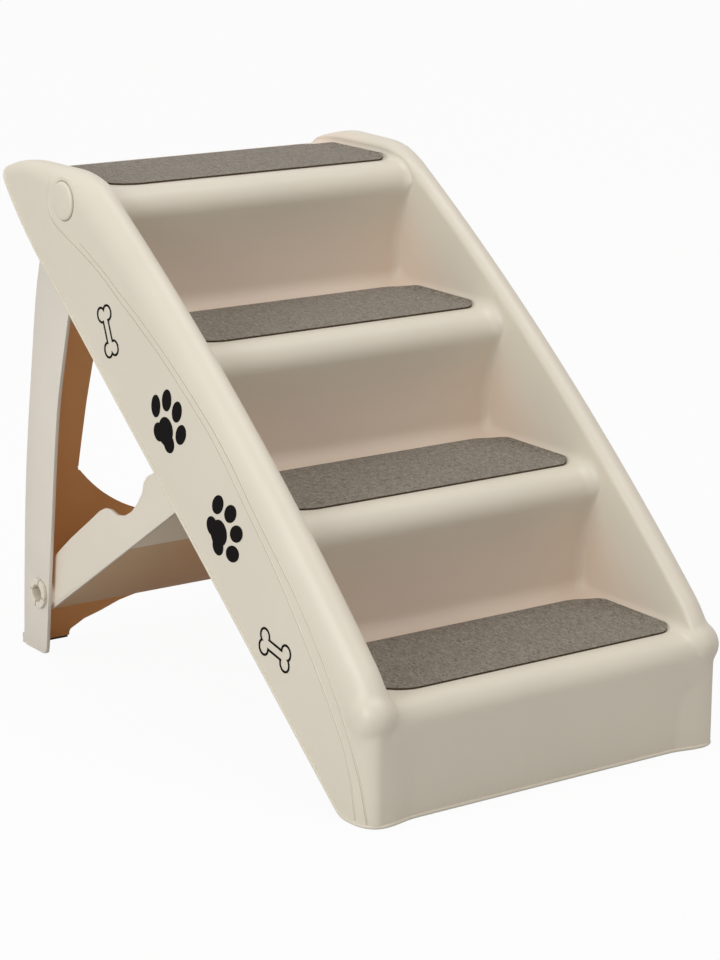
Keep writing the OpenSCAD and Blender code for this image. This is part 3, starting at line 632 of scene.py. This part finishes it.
felt_top = felt("taupe_felt", srgb(156, 148, 136), srgb(84, 77, 68), 0.15)
# Painted shade: the mats' side faces get this darker felt
felt_side_shade = felt("felt_side_painted_shade", srgb(92, 76, 58), srgb(52, 42, 32), 0.05)
for i in range(4):
    front_y, base_z = NOSE_Y + MAT_SETBACK + i * TREAD_RUN, NOSE_Z + NOSE_R + i * TREAD_RISE
    back_y = front_y + MAT_D
    bpy.ops.object.select_all(action="DESELECT")
    bpy.ops.mesh.primitive_plane_add(size=2, location=(0, 0, 0))
    mat = bpy.context.object
    mat.name = "tread_mat_felt_%d" % (i + 1)
    for v in mat.data.vertices:
        v.co = ((MAT_RIGHT if v.co.x > 0 else MAT_LEFT) * MM, (back_y if v.co.y > 0 else front_y) * MM,
                base_z * MM)
    corners = ((MAT_CORNER_BACK, back_y, (-1, 1)), (MAT_CORNER_FRONT_LEFT, front_y, (-1,)),
               (MAT_CORNER_FRONT_RIGHT, front_y, (1,)))
    for corner, edge_y, sides in corners:
        edit(mat)
        bpy.ops.mesh.select_all(action="DESELECT")
        bpy.ops.object.mode_set(mode="OBJECT")
        for v in mat.data.vertices:
            v.select = abs(v.co.y - edge_y * MM) < 1e-6 and math.copysign(1, v.co.x) in sides
        bpy.ops.object.mode_set(mode="EDIT")
        bpy.ops.mesh.bevel(offset=corner * MM, segments=12, affect="VERTICES")
        bpy.ops.object.mode_set(mode="OBJECT")
    for cut in np.linspace(MAT_CURL_START, MAT_RIGHT - 1.2, MAT_CURL_CUTS):
        for side in (-1, 1):
            edit(mat)
            bpy.ops.mesh.bisect(plane_co=(side * cut * MM, 0, 0), plane_no=(1, 0, 0))
            bpy.ops.object.mode_set(mode="OBJECT")
    edit(mat)
    bpy.ops.mesh.extrude_region_move(TRANSFORM_OT_translate={"value": (0, 0, (MAT_T - MAT_CROWN) * MM)})
    bpy.ops.mesh.inset(thickness=MAT_EDGE * MM)
    bpy.ops.transform.translate(value=(0, 0, MAT_CROWN * MM))
    bpy.ops.mesh.select_all(action="SELECT")
    bpy.ops.mesh.normals_make_consistent(inside=False)
    bpy.ops.object.mode_set(mode="OBJECT")
    for v in mat.data.vertices:
        past = max(abs(v.co.x) / MM - MAT_CURL_START, 0.0)
        v.co.z += (MAT_CURL_R - math.sqrt(MAT_CURL_R ** 2 - past ** 2)) * MM
    finish_with(mat, felt_top)
    mat.data.materials.append(felt_side_shade)
    for f in mat.data.polygons:
        f.material_index = 0 if f.normal.z > 0.7 else 1
    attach(mat, "shell")
    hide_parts("tread_mat_%d" % (i + 1))

# Leg frame: the rear leg, two flat cheeks that hang on the pivots, joined by a
# web with an arched window. Moulded in one piece in the same cream plastic.
leg_plastic = plastic("cream_plastic_leg", srgb(228, 221, 211))


def paint_inner_shade(material, half_width, axis, start, end, shade_tones, fold=None):
    """Painted shade on the inner side of a moulding: its faces between the cheeks that point inwards or
    forwards are painted a warmer tone for the warm shade there, which fades to a second one along an axis.
    A third is before the fold."""
    tree = material.node_tree
    base = tree.nodes["Principled BSDF"].inputs["Base Color"]
    coords, axes, across = object_place(tree)
    inside = add_node(tree, "Math", "LESS_THAN", second=half_width * MM)
    link(tree, across, inside.inputs[0])
    turned = add_node(tree, "SeparateXYZ")
    link(tree, coords.outputs["Normal"], turned.inputs[0])
    facing = ramp(tree, turned.outputs["Y"], 0.5, 0.1)
    fade = ramp(tree, across if axis == "X" else axes[axis], start * MM, end * MM, smooth=True)
    inner = lay_over(tree, shade_tones[0], fade, shade_tones[1])
    if fold:
        before = add_node(tree, "Math", "LESS_THAN", second=fold * MM)
        link(tree, axes["Y"], before.inputs[0])
        inner = lay_over(tree, inner, before.outputs[0], shade_tones[2])
    mask = times(tree, inside.outputs[0], facing)
    link(tree, lay_over(tree, base.links[0].from_socket, mask, inner), base)


def soften(node, width):
    """Rounds the moulded edges of a carried-over piece, in millimetres."""
    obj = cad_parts[node]
    weld = obj.modifiers.new("weld", "WELD")
    weld.merge_threshold = 0.00001
    bevel = obj.modifiers.new("soft_edges", "BEVEL")
    bevel.width = width * MM
    bevel.segments = 3
    bevel.limit_method = "ANGLE"
    bevel.angle_limit = math.radians(35)
    bevel.use_clamp_overlap = True
    bevel.harden_normals = True
    for f in obj.data.polygons:
        f.use_smooth = True
    return obj


# Painted shade: the leg's faces between its cheeks that point inwards or forwards are painted warm brown, a
# little lighter higher up, for the warm shade under the stairs
leg_painted_shade = plastic("cream_plastic_leg_inside", srgb(228, 221, 211))
paint_inner_shade(leg_painted_shade, 184.6, "Z", 60, 330, (srgb(240, 176, 113), srgb(246, 190, 132)))
leg = soften("leg_frame", 1.2)
finish_with(leg, leg_painted_shade)

# Brace panel: the tray that locks the leg, with a cheek at each side, a sloping
# floor and round stubs that snap into the leg's hub holes.
brace = soften("brace_panel", 0.5)
# Painted shade: the brace's faces between its cheeks that point inwards or forwards are painted warm brown,
# paler towards the cheeks and pale before the fold, for the shade under the stairs
brace_painted_shade = plastic("cream_plastic_brace_inside", srgb(232, 224, 210))
paint_inner_shade(brace_painted_shade, 177.4, "X", 60, 172,
               (srgb(232, 184, 134), srgb(226, 190, 150), srgb(250, 236, 216)), fold=104.5)
finish_with(brace, brace_painted_shade)

# Pivot pins and their clips: domed plastic pins on which the leg turns, held
# inside by push-on rings.
CLIP_X0, CLIP_X1 = 181.0, 184.2
SHANK_END_X, HEAD_X, HEAD_EDGE_X, HEAD_TOP_X = 171.5, 193.0, 195.9, 199.1
SHANK_R, GROOVE_R, HEAD_R, EDGE_R, EDGE_H, CHAMFER = 8, 6.4, 18.2, 3.5, 2.6, 0.6
PIN_PROFILE = [(0, SHANK_END_X), (SHANK_R - 1, SHANK_END_X), (SHANK_R, SHANK_END_X + 1), (SHANK_R, CLIP_X0),
               (GROOVE_R, CLIP_X0), (GROOVE_R, CLIP_X1), (SHANK_R, CLIP_X1), (SHANK_R, HEAD_X),
               (HEAD_R - CHAMFER, HEAD_X), (HEAD_R, HEAD_X + CHAMFER), (HEAD_R, HEAD_EDGE_X)]
for a in np.radians(np.linspace(10, 80, 8)):
    PIN_PROFILE.append((HEAD_R - EDGE_R + EDGE_R * math.cos(a), HEAD_EDGE_X + EDGE_H * math.sin(a)))
PIN_PROFILE += [(r, HEAD_TOP_X - drop) for r, drop in ((11, 0.35), (7, 0.15), (3, 0.05), (0, 0))]
for side, label in ((-1, "left"), (1, "right")):
    bpy.ops.object.select_all(action="DESELECT")
    bpy.ops.mesh.primitive_circle_add(vertices=len(PIN_PROFILE), radius=1, fill_type="NOTHING")
    pin = bpy.context.object
    pin.name = "pivot_pin_cap_" + label
    for v, (r, x) in zip(pin.data.vertices, PIN_PROFILE):
        v.co = (side * x * MM, PIVOT_Y * MM, (PIVOT_Z + r) * MM)
    edit(pin)
    bpy.ops.mesh.select_mode(type="EDGE")
    bpy.ops.mesh.select_all(action="DESELECT")
    bpy.ops.object.mode_set(mode="OBJECT")
    for e in pin.data.edges:
        e.select = abs(e.vertices[0] - e.vertices[1]) > 1
    bpy.ops.object.mode_set(mode="EDIT")
    bpy.ops.mesh.delete(type="EDGE_FACE")
    bpy.ops.mesh.select_all(action="SELECT")
    bpy.ops.mesh.spin(steps=72, angle=math.tau, center=(0, PIVOT_Y * MM, PIVOT_Z * MM), axis=(1, 0, 0))
    bpy.ops.mesh.select_mode(type="VERT")
    bpy.ops.object.mode_set(mode="OBJECT")
    tidy_normals(pin)
    finish_with(pin, shell_plastic)
    for f in pin.data.polygons:
        f.use_smooth = True
    bpy.ops.object.shade_smooth_by_angle(angle=math.radians(40))
    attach(pin, "shell")
    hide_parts("pivot_pin_" + label)
for node in ("pin_clip_left", "pin_clip_right"):
    finish_with(soften(node, 0.3), leg_plastic)

# Floor pads: two under the shell's front feet and two under the leg, cut from grey
# rubber sheet and let into the feet, so that the stairs don't slip.
rubber = plastic("grey_rubber", srgb(70, 68, 66), roughness=0.7, cloud=0.05, grain=0.3)
for node in ("front_pad_left", "front_pad_right", "rear_pad_left", "rear_pad_right"):
    finish_with(soften(node, 0.3), rubber)

# Printed marks: two paws and two bones on each side, in near-black ink that is
# pad-printed on the finished plastic.
print_ink = plastic("black_print", srgb(10, 6, 6), roughness=0.7, cloud=0.06, grain=0.1)
print_ink.node_tree.nodes["Principled BSDF"].inputs["Specular IOR Level"].default_value = 0.12
for kind in ("bone_upper", "paw_upper", "paw_lower", "bone_lower"):
    for side in ("left", "right"):
        finish_with(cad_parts["%s_%s" % (kind, side)], print_ink)

# Camera at the photograph's viewing angle, a plain pale floor that keeps the shadow, and
# three soft lamps with a plain world round them.
CAM_AZ, CAM_EL, CAM_ROLL = math.radians(-35.117), math.radians(14.094), math.radians(0.524)
CAM_DISTANCE, CAM_AIM = 2.7761, Vector((0, 0.012, 0.25))
IMAGE_W, IMAGE_H, FOCAL_PIXELS, CENTRE_X, CENTRE_Y = 720, 960, 2964.8, 343.9, 434.0
back = Vector((math.sin(CAM_AZ) * math.cos(CAM_EL), -math.cos(CAM_AZ) * math.cos(CAM_EL), math.sin(CAM_EL)))
right = Vector((0, 0, 1)).cross(back).normalized()
up = back.cross(right)
right, up = (right * math.cos(CAM_ROLL) + up * math.sin(CAM_ROLL),
             up * math.cos(CAM_ROLL) - right * math.sin(CAM_ROLL))
place = back * CAM_DISTANCE + CAM_AIM
camera_data = bpy.data.cameras.new("photo_camera")
camera_data.sensor_width = 36
camera_data.sensor_fit = "AUTO"
camera_data.lens = FOCAL_PIXELS / IMAGE_H * camera_data.sensor_width
camera_data.shift_x = (IMAGE_W / 2 - CENTRE_X) / IMAGE_H
camera_data.shift_y = -(IMAGE_H / 2 - CENTRE_Y) / IMAGE_H
camera_data.clip_end = 50
camera = bpy.data.objects.new("photo_camera", camera_data)
camera.matrix_world = Matrix(((right.x, up.x, back.x, place.x), (right.y, up.y, back.y, place.y),
                              (right.z, up.z, back.z, place.z), (0, 0, 0, 1)))
bpy.context.collection.objects.link(camera)
bpy.context.scene.camera = camera

bpy.ops.object.select_all(action="DESELECT")
bpy.ops.mesh.primitive_plane_add(size=14, location=(0, 0, -0.0002))
floor = bpy.context.object
floor.name = "studio_floor"
floor_mat = bpy.data.materials.new("pale_floor")
floor_mat.use_nodes = True
tree = floor_mat.node_tree
plain = tree.nodes["Principled BSDF"]
plain.inputs["Base Color"].default_value = (0.6, 0.6, 0.6, 1)
plain.inputs["Roughness"].default_value = 0.9
glow = add_node(tree, "Emission", Strength=1.0)
blend = add_node(tree, "MixShader")
rays = add_node(tree, "LightPath")
share = add_node(tree, "Math", "MULTIPLY", second=0.95)
link(tree, rays.outputs["Is Camera Ray"], share.inputs[0])
link(tree, share.outputs[0], blend.inputs[0])
link(tree, plain.outputs[0], blend.inputs[1])
link(tree, glow.outputs[0], blend.inputs[2])
link(tree, blend.outputs[0], tree.nodes["Material Output"].inputs["Surface"])
floor.data.materials.append(floor_mat)

world = bpy.data.worlds.new("studio")
bpy.context.scene.world = world
world.use_nodes = True
tree = world.node_tree
tree.nodes.clear()
rays = add_node(tree, "LightPath")
soft = add_node(tree, "Background", Color=(1.0, 0.93, 0.872, 1), Strength=0.47)
white = add_node(tree, "Background", Strength=1.0)
mix = add_node(tree, "MixShader")
out = add_node(tree, "OutputWorld")
seen = rays.outputs["Is Camera Ray"]
for kind in ("Is Glossy Ray", "Is Transmission Ray"):
    either = add_node(tree, "Math", "MAXIMUM")
    link(tree, seen, either.inputs[0])
    link(tree, rays.outputs[kind], either.inputs[1])
    seen = either.outputs[0]
link(tree, seen, mix.inputs[0])
link(tree, soft.outputs[0], mix.inputs[1])
link(tree, white.outputs[0], mix.inputs[2])
link(tree, mix.outputs[0], out.inputs[0])


def softbox(name, place, target, size, power, colour=(1, 1, 1)):
    data = bpy.data.lights.new(name, "AREA")
    data.shape = "RECTANGLE"
    data.size, data.size_y = size
    data.energy = power
    data.color = colour
    lamp = bpy.data.objects.new(name, data)
    lamp.location = place
    lamp.rotation_euler = (Vector(target) - Vector(place)).to_track_quat("-Z", "Y").to_euler()
    bpy.context.collection.objects.link(lamp)


softbox("side_softbox", (-3.1, -0.5, 1.35), (0, 0, 0.25), (1.8, 1.4), 43, (0.965, 1, 0.99))
softbox("top_softbox", (0.3, -0.3, 3.2), (0, 0, 0.2), (2.2, 2.2), 34, (0.98, 0.99, 1))
softbox("front_softbox", (0.9, -3.2, 1.7), (0, 0, 0.25), (1.6, 1.6), 4, (1, 0.98, 0.95))

bpy.context.scene.view_settings.view_transform = "Standard"
